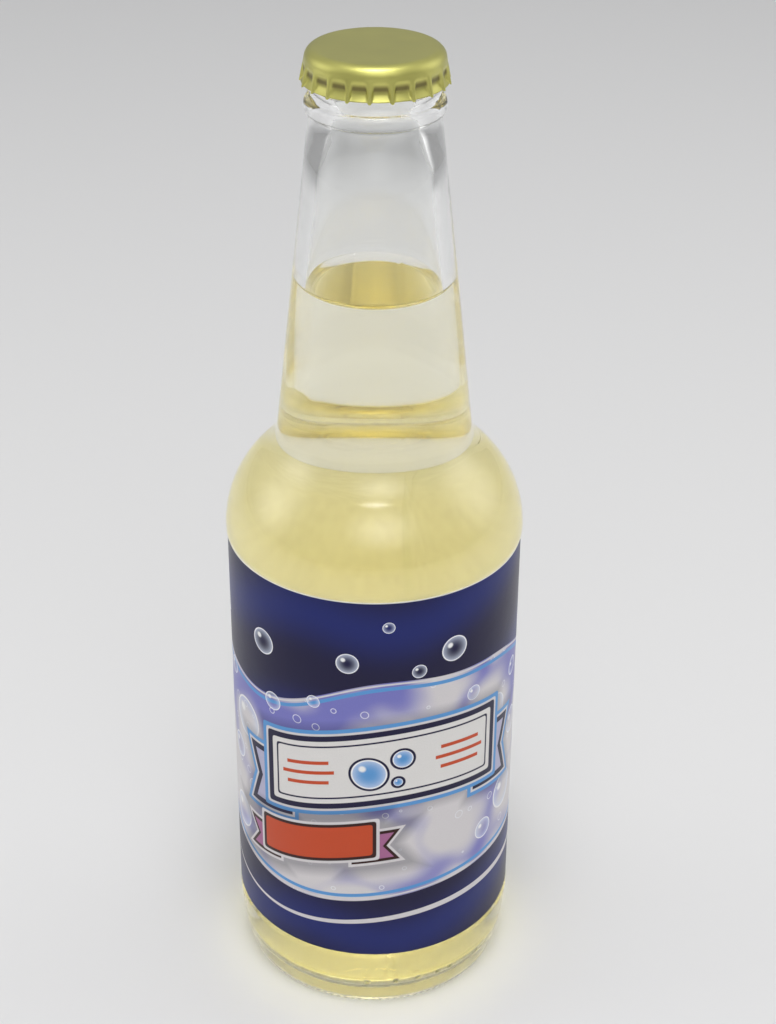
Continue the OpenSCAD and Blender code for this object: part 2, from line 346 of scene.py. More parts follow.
flint_glass, shader = new_material("flint_glass")
tree = flint_glass.node_tree
let_light_through(tree, shader, (0.93, 0.95, 0.94))
shader.inputs["Transmission Weight"].default_value = 1
shader.inputs["Metallic"].default_value = 0
shader.inputs["IOR"].default_value = 1.5
place = add(tree, "ShaderNodeTexCoord")
smear = place_group(tree, mottle, Place=place.outputs["Object"], Scale=60.0, Detail=5.0)
rub = add(tree, "ShaderNodeMapRange")
rub.inputs["From Min"].default_value = 0.5
rub.inputs["From Max"].default_value = 0.85
rub.inputs["To Min"].default_value = 0.0
rub.inputs["To Max"].default_value = 0.10
feed(tree, rub.inputs["Value"], smear.outputs["Amount"])
feed(tree, shader.inputs["Roughness"], rub.outputs["Result"])

# round dots moulded in a row on the heel, each as its turn round the axis and its height; each is raised by
# the bump and tinted dark as painted shade
dot_r, dot_rise = 0.8, 1.0
dot_bump_and_shade = 0.0
heel_rows = outside[(outside[:, 0] > rest_r) & (outside[:, 1] < heel_h)]
for dot_angle, dot_z in (
        (-92.6, 8.4), (-80.4, 8.4), (-70.7, 8.3), (-61.3, 8.2), (-55.1, 8.1), (-38.3, 7.5)):
    dot_r_out = np.interp(dot_z, heel_rows[:, 1], heel_rows[:, 0])
    dot_turn = np.radians(dot_angle)
    dot_place = tuple(MM * c for c in (dot_r_out * np.cos(dot_turn), dot_r_out * np.sin(dot_turn), dot_z))
    bump_up = add(tree, "ShaderNodeMapRange", interpolation_type="SMOOTHSTEP")
    feed(tree, bump_up.inputs["Value"], shift(tree, "DISTANCE", place.outputs["Object"], dot_place))
    bump_up.inputs["From Min"].default_value = dot_r * MM
    bump_up.inputs["From Max"].default_value = 0.3 * dot_r * MM
    dot_bump_and_shade = calc(tree, "ADD", bump_up.outputs["Result"], dot_bump_and_shade)
relief = add(tree, "ShaderNodeBump")
relief.inputs["Distance"].default_value = dot_rise * MM
relief.inputs["Strength"].default_value = 1
feed(tree, relief.inputs["Height"], dot_bump_and_shade)
# painted shade: the clear glass is tinted dark olive on each dot
feed(tree, shader.inputs["Base Color"], ink(tree, (0.992, 0.998, 0.992), (0.30, 0.32, 0.16), dot_bump_and_shade))
feed(tree, shader.inputs["Normal"], relief.outputs["Normal"])
bottle_glass.data.materials.append(flint_glass)
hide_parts("bottle")
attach(bottle_glass, "glass")


# ---------------------------------------------------------------------------------------
# Soda. A clear, pale yellow drink that wets the glass all over, up to its line in the neck,
# and climbs the glass a little at its rim.
# ---------------------------------------------------------------------------------------

# the drink reaches a hair into the wall of the glass, so that no film of air is seen between them
wetting = 0.05
fill_h = 166.6
meniscus_h, meniscus_w = 1.4, 2.2
soda_angle = np.linspace(0, 2 * np.pi, 256, endpoint=False)[None, :]
rim_z = fill_h + meniscus_h
rim_r = neck_r_at(rim_z, neck_wall_t - wetting)
wall_run = cavity_run(-wetting)
climb = np.linspace(0, 1, 14)[:, None]
soda_side = np.vstack([wall_run, line(wall_run[-1], [rim_r, rim_z], 6)[1:]])
soda_top = np.hstack([rim_r - meniscus_w * climb, fill_h + meniscus_h * (1 - climb) ** 2])[1:]
soda_flat = line([rim_r - meniscus_w, fill_h], [0, fill_h], 6)[1:]
soda_outline = np.vstack([soda_side, soda_top, soda_flat])
soda_r, soda_z = soda_outline[:, :1], soda_outline[:, 1:]
# the drink follows the slow waves of the wall, and its free surface stays level and round
soda_swell = unevenness(soda_angle, soda_z, inner_wave, inner_seed)
soda_swell *= (soda_z > floor_t) & (soda_r > rim_r - 0.01)
soda_body = skin("soda_body", turned(soda_outline, soda_angle, soda_swell))
# the corner at the drink's rim stays sharp, so that the tall faces below it shade straight
soda_body.data.set_sharp_from_angle(angle=np.radians(60))

drink, shader = new_material("yellow_drink")
tree = drink.node_tree
let_light_through(tree, shader, (0.99, 0.99, 0.97))
shader.inputs["Base Color"].default_value = (1, 1, 1, 1)
shader.inputs["Transmission Weight"].default_value = 1
shader.inputs["Roughness"].default_value = 0.05
shader.inputs["IOR"].default_value = 1.34
tint = add(tree, "ShaderNodeVolumeAbsorption")
tint.inputs["Color"].default_value = (0.965, 0.84, 0.15, 1)
tint.inputs["Density"].default_value = 9
tree.links.new(tint.outputs["Volume"], tree.nodes["Material Output"].inputs["Volume"])
soda_body.data.materials.append(drink)
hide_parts("soda")
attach(soda_body, "glass")


# ---------------------------------------------------------------------------------------
# Label. One sheet of coated paper, printed and varnished, glued once round the panel with
# its last end lapped over the first at the back.
# ---------------------------------------------------------------------------------------

label_low, label_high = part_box("label")
label_z0, label_z1 = label_low.z / MM, label_high.z / MM
paper_t, glue_t, lap = 0.12, 0.02, 7.0
lap_lift, lap_ramp = 1.15 * paper_t, 1.5
# glue joins paper and glass for light as well, so the sheet's back reaches just into the glass
glue_reach = 0.08
label_r = body_r + glue_t
girth = 2 * np.pi * (label_r + paper_t / 2)
sheet_l = girth + lap


def wrapped(run, height, lift):
    """Where a point of the sheet goes, from its run along the sheet and its height.

    The run over the radius is its angle from the back, and the last end rises onto the first.
    """
    angle = np.pi / 2 + (run - sheet_l / 2) / (label_r + paper_t / 2) + np.pi
    rise = lap_lift * np.clip((run - (sheet_l - lap - lap_ramp)) / lap_ramp, 0, 1)
    r = label_r + rise + lift
    return np.stack([r * np.cos(angle), r * np.sin(angle), height + 0 * r], axis=-1)


run_steps, up_steps = 420, 24
run = np.linspace(0, sheet_l, run_steps + 1)[:, None]
up = np.linspace(label_z0, label_z1, up_steps + 1)
loop_z = np.concatenate([up, up[::-1]])[None, :]
loop_lift = np.concatenate([np.full(up_steps + 1, paper_t), np.full(up_steps + 1, -glue_reach)])[None, :]
sheet_points = wrapped(run, loop_z, loop_lift)


def band(name, points):
    """A closed mesh from a grid whose columns close into a ring round the cross-section.

    Quads run along it, and a strip of quads closes each end.
    """
    rows, cols = points.shape[:2]
    i, j = np.meshgrid(np.arange(rows - 1), np.arange(cols), indexing="ij")
    k = (j + 1) % cols
    quads = np.stack([i * cols + j, (i + 1) * cols + j, (i + 1) * cols + k, i * cols + k], axis=-1)
    low = np.arange(cols // 2 - 1)
    high = cols - 1 - low
    start = np.stack([low, low + 1, high - 1, high], axis=-1)
    end = (rows - 1) * cols + start[:, ::-1]
    faces = np.concatenate([quads.reshape(-1, 4), start, end])
    mesh = bpy.data.meshes.new(name)
    mesh.from_pydata((points * MM).reshape(-1, 3).tolist(), [], faces.tolist())
    piece = bpy.data.objects.new(name, mesh)
    bpy.context.collection.objects.link(piece)
    return piece, faces


paper_label, label_faces = band("paper_label", sheet_points)
label_mesh = paper_label.data

# the print's own flat measures, in centimetres from the middle of the front and the lower edge
print_u = np.broadcast_to(run, sheet_points.shape[:2]) - sheet_l / 2
print_v = np.broadcast_to(loop_z, sheet_points.shape[:2]) - label_z0
flat = np.stack([print_u, print_v], axis=-1).reshape(-1, 2) / 10
loop_vertex = np.empty(len(label_mesh.loops), dtype=np.int32)
label_mesh.loops.foreach_get("vertex_index", loop_vertex)
layer = label_mesh.uv_layers.new(name="print")
layer.data.foreach_set("uv", flat[loop_vertex].astype(np.float32).ravel())
# only the outer face is printed: the cut edges and the back are bare paper
cols = 2 * (up_steps + 1)
quad_col = np.tile(np.arange(cols), run_steps)
bare = np.ones(len(label_faces), dtype=np.int32)
bare[:len(quad_col)] = quad_col >= up_steps
label_mesh.polygons.foreach_set("material_index", bare)
label_mesh.polygons.foreach_set("use_smooth", np.ones(len(label_faces), dtype=bool))
label_mesh.set_sharp_from_angle(angle=np.radians(40))


def within(tree, distance, soft=0.006):
    """1 where a distance is negative and 0 where it is positive, with a soft step between."""
    node = add(tree, "ShaderNodeMapRange")
    feed(tree, node.inputs["Value"], distance)
    node.inputs["From Min"].default_value = soft
    node.inputs["From Max"].default_value = -soft
    return node.outputs["Result"]


def outline_of(tree, distance, away, half_width):
    """1 along a line that keeps a distance away from a shape's edge."""
    off = calc(tree, "ABSOLUTE", calc(tree, "SUBTRACT", distance, away))
    return within(tree, calc(tree, "SUBTRACT", off, half_width))


# distance from a point to the edge of a rectangle with round corners, turned about its
# middle: the part of the point outside the corners' centres, less the corner's radius
rounded_shape, g_in, g_out = new_group(
    "rounded_shape",
    {"Place": "Vector", "Centre": "Vector", "Turn": "Float", "Half Size": "Vector", "Corner": "Float"},
    {"Distance": "Float"})
turn = add(rounded_shape, "ShaderNodeVectorRotate", rotation_type="Z_AXIS")
feed(rounded_shape, turn.inputs["Vector"],
     shift(rounded_shape, "SUBTRACT", g_in.outputs["Place"], g_in.outputs["Centre"]))
feed(rounded_shape, turn.inputs["Angle"], g_in.outputs["Turn"])
past = shift(rounded_shape, "SUBTRACT", shift(rounded_shape, "ABSOLUTE", turn.outputs["Vector"]),
             g_in.outputs["Half Size"])
past = shift(rounded_shape, "MULTIPLY", past, (1, 1, 0))
corner_box = add(rounded_shape, "ShaderNodeCombineXYZ")
feed(rounded_shape, corner_box.inputs["X"], g_in.outputs["Corner"])
feed(rounded_shape, corner_box.inputs["Y"], g_in.outputs["Corner"])
past = shift(rounded_shape, "ADD", past, corner_box.outputs["Vector"])
split = add(rounded_shape, "ShaderNodeSeparateXYZ")
feed(rounded_shape, split.inputs["Vector"], past)
most = calc(rounded_shape, "MAXIMUM", split.outputs["X"], split.outputs["Y"])
out_by = shift(rounded_shape, "LENGTH", shift(rounded_shape, "MAXIMUM", past, (0, 0, 0)))
total = calc(rounded_shape, "ADD", out_by, calc(rounded_shape, "MINIMUM", most, 0.0))
feed(rounded_shape, g_out.inputs["Distance"],
     calc(rounded_shape, "SUBTRACT", total, g_in.outputs["Corner"]))

# a printed bubble over a colour: a pale fill that grows towards its rim, a white rim, and a
# white spark at the upper left
printed_bubble, g_in, g_out = new_group(
    "printed_bubble",
    {"Under": "Color", "Place": "Vector", "Centre": "Vector", "Radius": "Float"},
    {"Color": "Color"})
bubble_d = calc(printed_bubble, "DIVIDE", shift(
    printed_bubble, "DISTANCE", g_in.outputs["Place"], g_in.outputs["Centre"]), g_in.outputs["Radius"])
fill = calc(printed_bubble, "MULTIPLY",
            within(printed_bubble, calc(printed_bubble, "SUBTRACT", bubble_d, 1.0), 0.03),
            calc(printed_bubble, "MULTIPLY", calc(printed_bubble, "POWER", bubble_d, 2.5), 0.75))
bubble_ink = ink(printed_bubble, g_in.outputs["Under"], (0.72, 0.79, 0.95), fill)
bubble_ink = ink(printed_bubble, bubble_ink, (0.90, 0.90, 0.93),
                 outline_of(printed_bubble, bubble_d, 0.97, 0.045))
spark = shift(printed_bubble, "MULTIPLY_ADD",
              (-0.38, 0.36, 0.0), g_in.outputs["Radius"], g_in.outputs["Centre"])
spark_d = calc(printed_bubble, "DIVIDE", shift(
    printed_bubble, "DISTANCE", g_in.outputs["Place"], spark), g_in.outputs["Radius"])
spark_shown = within(printed_bubble, calc(printed_bubble, "SUBTRACT", spark_d, 0.2), 0.06)
feed(printed_bubble, g_out.inputs["Color"], ink(printed_bubble, bubble_ink, (0.93, 0.93, 0.93), spark_shown))

printed_paper, shader = new_material("printed_paper")
tree = printed_paper.node_tree
sheet_map = add(tree, "ShaderNodeUVMap", uv_map="print")
split = add(tree, "ShaderNodeSeparateXYZ")
feed(tree, split.inputs["Vector"], sheet_map.outputs["UV"])
u, v, spot = split.outputs["X"], split.outputs["Y"], sheet_map.outputs["UV"]
print_h = (label_z1 - label_z0) / 10
navy, royal, sky, lilac, paper_white = (
    (0.009, 0.007, 0.042), (0.011, 0.019, 0.145), (0.11, 0.33, 0.68), (0.20, 0.20, 0.55), (0.70, 0.67, 0.68))
flame, flame_dark = (0.58, 0.075, 0.022), (0.035, 0.008, 0.006)
wave_turn = 2 * np.pi / (girth / 10)


def wave(height, *swings):
    """A wavy line round the bottle: a height plus sines, each of a number of waves, a rise and a phase."""
    total = height
    for waves, rise, phase in swings:
        swing = calc(tree, "SINE", calc(tree, "MULTIPLY_ADD", u, float(waves * wave_turn), phase))
        total = calc(tree, "MULTIPLY_ADD", swing, rise, total)
    return total


# ground: heaps of soft foam, white on their rounds and lilac in the hollows between them
warp = add(tree, "ShaderNodeTexNoise")
feed(tree, warp.inputs["Vector"], spot)
warp.inputs["Scale"].default_value = 0.7
warp.inputs["Detail"].default_value = 1
heaped = shift(tree, "MULTIPLY_ADD", warp.outputs["Color"], (1.4, 1.4, 0), spot)
foam = add(tree, "ShaderNodeTexVoronoi", voronoi_dimensions="2D", feature="SMOOTH_F1")
feed(tree, foam.inputs["Vector"], heaped)
foam.inputs["Scale"].default_value = 0.62
foam.inputs["Smoothness"].default_value = 0.35
fade = add(tree, "ShaderNodeMapRange", interpolation_type="SMOOTHSTEP")
feed(tree, fade.inputs["Value"], calc(tree, "MULTIPLY_ADD", v, 0.055, foam.outputs["Distance"]))
fade.inputs["From Min"].default_value = 0.52
fade.inputs["From Max"].default_value = 1.02
print_ink = ink(tree, paper_white, lilac, fade.outputs["Result"])

# fizz: many small rings in the foam
fizz = add(tree, "ShaderNodeTexVoronoi", voronoi_dimensions="2D")
feed(tree, fizz.inputs["Vector"], spot)
fizz.inputs["Scale"].default_value = 1.9
fizz.inputs["Randomness"].default_value = 0.8
fizz_pick = add(tree, "ShaderNodeSeparateColor")
feed(tree, fizz_pick.inputs["Color"], fizz.outputs["Color"])
fizz_d = calc(tree, "SUBTRACT", fizz.outputs["Distance"], calc(
    tree, "MULTIPLY_ADD", fizz_pick.outputs["Red"], 0.16, 0.03))
fizz_shown = calc(tree, "MULTIPLY", outline_of(tree, fizz_d, 0.0, 0.018), calc(
    tree, "GREATER_THAN", fizz_pick.outputs["Green"], 0.55))
print_ink = ink(tree, print_ink, (0.85, 0.86, 0.9), calc(tree, "MULTIPLY", fizz_shown, 0.8))

# upper and lower bands with waving edges, each with a bright keyline beside it
upper_d = calc(tree, "SUBTRACT", wave(6.95, (2, 0.50, 0.7), (5, 0.10, 2.0)), v)
lower_d = calc(tree, "SUBTRACT", v, wave(1.75, (2, 0.32, -1.0), (3, 0.12, 1.3)))
fold = calc(tree, "MULTIPLY_ADD", u, -0.55, wave(0.0, (2, 1.1, 0.3), (5, 0.25, 1.0)))
fold = calc(tree, "SINE", calc(tree, "MULTIPLY_ADD", v, 2.3, fold))
fold = calc(tree, "POWER", calc(tree, "MULTIPLY_ADD", fold, 0.5, 0.5), 1.7)
band_ink = ink(tree, navy, royal, fold)
for band_d in (upper_d, lower_d):
    print_ink = ink(tree, print_ink, band_ink, within(tree, band_d))
    print_ink = ink(tree, print_ink, paper_white, outline_of(tree, band_d, 0.05, 0.022))
    print_ink = ink(tree, print_ink, sky, outline_of(tree, band_d, 0.16, 0.045))
ribbon_d = calc(tree, "SUBTRACT", v, wave(1.05, (2, 0.30, -0.5), (3, 0.10, 1.8)))
ribbon_w = wave(0.045, (1, 0.03, 0.6))
ribbon_d = calc(tree, "SUBTRACT", calc(tree, "ABSOLUTE", ribbon_d), ribbon_w)
print_ink = ink(tree, print_ink, paper_white, within(tree, ribbon_d))

# bubbles that rise on both sides of the banners, as centre and radius in centimetres
for bubble_u, bubble_v, bubble_r in (
        (-3.75, 2.55, 0.42), (-3.10, 3.55, 0.24), (-3.85, 4.30, 0.30), (-3.35, 5.35, 0.50),
        (-2.35, 6.35, 0.22), (-4.05, 6.30, 0.20), (-1.30, 6.75, 0.15), (2.75, 2.70, 0.26),
        (3.60, 3.25, 0.46), (3.30, 4.45, 0.20), (4.05, 4.85, 0.32), (3.10, 5.75, 0.36),
        (2.30, 6.60, 0.18), (3.95, 6.35, 0.22), (0.95, 7.60, 0.16), (-0.55, 7.85, 0.24),
        (1.75, 7.95, 0.30), (-2.60, 7.75, 0.30), (0.30, 8.75, 0.13), (-4.6, 7.6, 0.2)):
    print_ink = place_group(
        tree, printed_bubble, Under=print_ink, Place=spot,
        Centre=(bubble_u, bubble_v, 0), Radius=bubble_r).outputs["Color"]


banner_swings = ((2, 0.34, 0.5), (3, 0.08, 1.9))
wide_v, wide_u = 4.95, 0.25


def banner(under, height, middle, reach, half_h, tail, fill, edges):
    """A blank ribbon laid over a colour: a strip along a wavy line, over two tails with notched ends.

    Strip and tails are edged with outlines of the given widths and colours.
    """
    off_line = calc(tree, "SUBTRACT", v, wave(height, *banner_swings))
    along = calc(tree, "SUBTRACT", u, middle)
    from_middle = calc(tree, "ABSOLUTE", along)
    from_line = calc(tree, "ABSOLUTE", off_line)
    strip_d = calc(tree, "SMOOTH_MAX", calc(tree, "SUBTRACT", from_line, half_h),
                   calc(tree, "SUBTRACT", from_middle, reach - 0.12), 0.12)
    tail_line = calc(tree, "ABSOLUTE", calc(tree, "ADD", off_line, 0.5 * half_h))
    tail_end = calc(tree, "SUBTRACT", calc(tree, "ADD", from_middle, calc(
        tree, "MULTIPLY_ADD", tail_line, -0.3 / half_h, 0.3)), reach + tail)
    tail_d = calc(tree, "MAXIMUM", calc(tree, "SUBTRACT", tail_line, 0.8 * half_h), tail_end)
    tail_d = calc(tree, "MAXIMUM", tail_d, calc(tree, "SUBTRACT", reach - 0.5, from_middle))
    shadow_d = calc(tree, "SUBTRACT", calc(tree, "MINIMUM", strip_d, tail_d), 0.4)
    under = ink(tree, under, navy, calc(tree, "MULTIPLY", within(tree, shadow_d, 0.16), 0.45))
    for shape_d, shape_ink in ((tail_d, ink(tree, fill, lilac, 0.5)), (strip_d, fill)):
        for width, edge in edges:
            under = ink(tree, under, edge, within(tree, calc(tree, "SUBTRACT", shape_d, width)))
        under = ink(tree, under, shape_ink, within(tree, shape_d))
    return under, strip_d


# a wide white banner with a soft shadow round it, blank but for an inner line, two sets of
# rules and three bubbles
print_ink, banner_d = banner(print_ink, wide_v, wide_u, 2.75, 0.82, 0.55, (0.78, 0.76, 0.74), (
    (0.30, sky), (0.20, paper_white), (0.14, navy)))
print_ink = ink(tree, print_ink, navy, outline_of(tree, banner_d, -0.14, 0.022))
for bubble_u, bubble_v, bubble_r in ((-0.1, 5.05, 0.44), (0.62, 5.42, 0.28), (0.52, 4.82, 0.16)):
    drop_d = calc(tree, "SUBTRACT", shift(tree, "DISTANCE", spot, (bubble_u, bubble_v, 0)), bubble_r)
    print_ink = ink(tree, print_ink, navy, within(tree, drop_d))
    print_ink = ink(tree, print_ink, sky, within(tree, calc(tree, "ADD", drop_d, 0.06)))
    print_ink = place_group(
        tree, printed_bubble, Under=print_ink, Place=spot,
        Centre=(bubble_u, bubble_v, 0), Radius=bubble_r - 0.06).outputs["Color"]
rule_line = calc(tree, "SUBTRACT", v, wave(wide_v, *banner_swings))
for rise, reach in ((0.26, 0.50), (0.0, 0.62), (-0.26, 0.50)):
    rule_d = calc(tree, "SUBTRACT", calc(tree, "ABSOLUTE", calc(tree, "SUBTRACT", rule_line, rise)), 0.045)
    sideways = calc(tree, "ABSOLUTE", calc(tree, "SUBTRACT", calc(
        tree, "ABSOLUTE", calc(tree, "SUBTRACT", u, wide_u)), 1.72))
    rule_d = calc(tree, "MAXIMUM", rule_d, calc(tree, "SUBTRACT", sideways, reach))
    print_ink = ink(tree, print_ink, flame, within(tree, rule_d))

# a small blank banner in flame red under it
print_ink, banner_d = banner(print_ink, 3.05, -1.35, 1.45, 0.42, 0.4, flame, (
    (0.15, paper_white), (0.08, flame_dark)))

# at the back, beside the seam: a blank panel with rules, and a plain framed panel
for back_u, rules in ((6.9, 7), (-6.9, 0)):
    panel_d = place_group(tree, rounded_shape, Place=spot, Centre=(back_u, 4.45, 0), Turn=0.0,
                          Half_Size=(1.6, 1.9, 0), Corner=0.12).outputs["Distance"]
    print_ink = ink(tree, print_ink, (0.78, 0.77, 0.76), within(tree, panel_d))
    print_ink = ink(tree, print_ink, navy, outline_of(tree, panel_d, -0.08, 0.02))
    for rule in range(rules):
        rule_d = place_group(tree, rounded_shape, Place=spot, Centre=(back_u, 5.75 - 0.42 * rule, 0),
                             Turn=0.0, Half_Size=(1.35, 0.02, 0), Corner=0.01).outputs["Distance"]
        print_ink = ink(tree, print_ink, navy, within(tree, rule_d))

# the print stops just short of the cut: a hair of bare paper shows along the top
print_ink = ink(tree, print_ink, (0.8, 0.8, 0.78),
                within(tree, calc(tree, "SUBTRACT", print_h - 0.018, v), 0.004))
grain = place_group(tree, mottle, Place=spot, Scale=30.0, Detail=6.0, Least=0.28, Most=0.44)
speck = calc(tree, "MULTIPLY_ADD", grain.outputs["Amount"], 0.12, 0.94)
graded = add(tree, "ShaderNodeHueSaturation")
feed(tree, graded.inputs["Color"], print_ink)
feed(tree, graded.inputs["Value"], speck)
feed(tree, shader.inputs["Base Color"], graded.outputs["Color"])
feed(tree, shader.inputs["Roughness"], grain.outputs["Value"])
shader.inputs["Coat Weight"].default_value = 0.1
shader.inputs["Coat Roughness"].default_value = 0.12
shader.inputs["Specular IOR Level"].default_value = 0.2
ripple = place_group(tree, mottle, Place=spot, Scale=0.8, Detail=3.0)
relief = add(tree, "ShaderNodeBump")
feed(tree, relief.inputs["Height"], calc(
    tree, "MULTIPLY_ADD", grain.outputs["Amount"], 0.02, ripple.outputs["Amount"]))
relief.inputs["Strength"].default_value = 0.35
relief.inputs["Distance"].default_value = 0.0003
feed(tree, shader.inputs["Normal"], relief.outputs["Normal"])

bare_paper, shader = new_material("bare_paper")
tree = bare_paper.node_tree
place = add(tree, "ShaderNodeTexCoord")
fibre = place_group(
    tree, mottle, Place=place.outputs["Object"], Scale=900.0, Detail=4.0, Least=0.6, Most=0.9)
feed(tree, shader.inputs["Base Color"], ink(
    tree, (0.62, 0.60, 0.57), (0.80, 0.79, 0.76), fibre.outputs["Amount"]))
feed(tree, shader.inputs["Roughness"], fibre.outputs["Value"])
label_mesh.materials.append(printed_paper)
label_mesh.materials.append(bare_paper)
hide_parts("label")
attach(paper_label, "glass")


# ---------------------------------------------------------------------------------------
# Liner. A thin disc of soft sealing compound, moulded in the cap, with a thick ring that
# presses on the lip of the glass.
# ---------------------------------------------------------------------------------------

sheet_t, liner_mid_t, liner_gap, seal_w = 0.24, 0.25, 0.04, 4.4
crown_round, flute_count = 2.2, 21
lock_gap, shoulder_over = 0.08, 0.08
shell_low, shell_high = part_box("crown_shell")
crown_top_z = shell_high.z / MM
crown_edge_z = shell_low.z / MM
crown_top_r = lock_r + lock_gap + sheet_t + shoulder_over
round_centre = np.array([crown_top_r - crown_round, crown_top_z - crown_round])
liner_round = crown_round - sheet_t - liner_gap
liner_top = round_centre[1] + liner_round
liner_low = glass_h + liner_gap
liner_mid = liner_top - liner_mid_t
seal_turn = np.degrees(np.arcsin((liner_low - round_centre[1]) / liner_round))
seal_r = round_centre[0] + liner_round * np.cos(np.radians(seal_turn)) - seal_w
bead_r = (liner_mid - liner_low) / 2
liner_outline = np.vstack([
    line([0, liner_mid], [seal_r - bead_r, liner_mid], 6)[:-1],
    arc([seal_r - bead_r, liner_mid - bead_r], bead_r, 90, 0, 4),
    arc([seal_r + bead_r, liner_low + bead_r], bead_r, 180, 270, 4)[1:],
    line([seal_r + bead_r, liner_low], round_centre + liner_round * np.array(
        [np.cos(np.radians(seal_turn)), np.sin(np.radians(seal_turn))]), 5)[1:-1],
    arc(round_centre, liner_round, seal_turn, 90, 8),
    line([round_centre[0], liner_top], [0, liner_top], 4)[1:]])
liner_angle = np.linspace(0, 2 * np.pi, 168, endpoint=False)[None, :]
crown_seal = skin("crown_seal", turned(liner_outline, liner_angle))

liner_compound, shader = new_material("liner_compound")
tree = liner_compound.node_tree
place = add(tree, "ShaderNodeTexCoord")
fleck = place_group(
    tree, mottle, Place=place.outputs["Object"], Scale=350.0, Detail=3.0, Least=0.35, Most=0.55)
feed(tree, shader.inputs["Base Color"], ink(
    tree, (0.66, 0.66, 0.62), (0.76, 0.76, 0.73), fleck.outputs["Amount"]))
feed(tree, shader.inputs["Roughness"], fleck.outputs["Value"])
relief = add(tree, "ShaderNodeBump")
feed(tree, relief.inputs["Height"], fleck.outputs["Amount"])
relief.inputs["Strength"].default_value = 0.15
relief.inputs["Distance"].default_value = 0.0001
feed(tree, shader.inputs["Normal"], relief.outputs["Normal"])
crown_seal.data.materials.append(liner_compound)
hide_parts("crown_liner")
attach(crown_seal, "crown")


# ---------------------------------------------------------------------------------------
# Crown cap. Tinplate, lacquered gold on both sides, drawn to a shallow cup and crimped on the
# glass with 21 flutes: between the ribs the skirt is pressed in under the locking ring and
# springs out again at its edge.
# ---------------------------------------------------------------------------------------

rib_lean, pinch_r, flare_r = 0.95, 13.34, 14.2
half_cols = 12
# columns stand close together on the ribs: places in a flute follow a power of an even spacing
even = np.arange(1 - half_cols, half_cols + 1) / half_cols
across_flute = 0.5 * np.sign(even) * np.abs(even) ** 1.7
flute_at = np.arange(flute_count)[:, None] + 0.5 + across_flute
crown_angle = (flute_at * 2 * np.pi / flute_count).reshape(1, -1)
place_in_flute = np.abs(np.tile(across_flute, flute_count))[None, :]
pinch_z, flare_z, valley_edge_z = 210.2, 210.0, crown_edge_z + 0.3
# as shares of a flute: half of a rib's crest, a valley's flank at the edge, and how much wider it is above
crest_w, flank_w, flank_spread = 0.04, 0.07, 0.24
valley_start, rolled_edge = 0.3, 0.06


def ease(x):
    """A smooth step from 0 to 1 as x goes from 0 to 1: three times its square less twice its cube."""
    x = np.clip(x, 0, 1)
    return x * x * (3 - 2 * x)


def crown_side(inset):
    """One face of the cap's skirt, from the end of its shoulder down to its edge.

    Ribs slope straight out. Valleys ease in to the pinch and spring out again below it.
    """
    down = np.linspace(0, 1, 27)[1:, None]
    flank = flank_w + flank_spread * (1 - down)
    valley = ease((place_in_flute - crest_w) / flank) * ease(down / valley_start)
    bottom = crown_edge_z + rolled_edge + (valley_edge_z - crown_edge_z) * valley
    start_z = crown_top_z - crown_round
    z = start_z + (bottom - start_z) * down
    rib_r = crown_top_r + rib_lean * down ** 0.9
    pinch = ease((start_z - z) / (start_z - pinch_z))
    flare = np.clip((flare_z - z) / (flare_z - valley_edge_z), 0, 1)
    valley_r = crown_top_r + (pinch_r - crown_top_r) * pinch + (flare_r - pinch_r) * flare ** 1.6
    r = rib_r + (valley_r - rib_r) * valley - inset
    return np.stack([r * np.cos(crown_angle), r * np.sin(crown_angle), z], axis=-1)


def crown_top(inset):
    """One face of the cap's flat top and its round shoulder, from the middle outwards."""
    flat = line([0, crown_top_z - inset], [round_centre[0], crown_top_z - inset], 9)[:-1]
    return turned(np.vstack([flat, arc(round_centre, crown_round - inset, 90, 0, 12)]), crown_angle)


outer_side, inner_side = crown_side(0), crown_side(sheet_t)
edge = (outer_side[-1:] + inner_side[-1:]) / 2 - np.array([0, 0, rolled_edge])
crown_points = np.concatenate([
    crown_top(0), outer_side, edge, inner_side[::-1], crown_top(sheet_t)[::-1]])
crown_cap = skin("crown_cap", crown_points[::-1])

gold_tinplate, shader = new_material("gold_tinplate")
tree = gold_tinplate.node_tree
place = add(tree, "ShaderNodeTexCoord")
shader.inputs["Metallic"].default_value = 0.9
shader.inputs["Coat Weight"].default_value = 0.65
shader.inputs["Coat Roughness"].default_value = 0.36
cloudy = place_group(
    tree, mottle, Place=place.outputs["Object"], Scale=160.0, Detail=4.0, Least=0.30, Most=0.44)
stretch = add(tree, "ShaderNodeMapping")
feed(tree, stretch.inputs["Vector"], place.outputs["Object"])
stretch.inputs["Rotation"].default_value = (0, 0, 0.5)
stretch.inputs["Scale"].default_value = (300, 4500, 300)
scratch = place_group(
    tree, mottle, Place=stretch.outputs["Vector"], Scale=1.0, Detail=3.0, Least=0.0, Most=0.08)
lacquer = ink(tree, (0.55, 0.53, 0.13), (0.62, 0.595, 0.165), cloudy.outputs["Amount"])
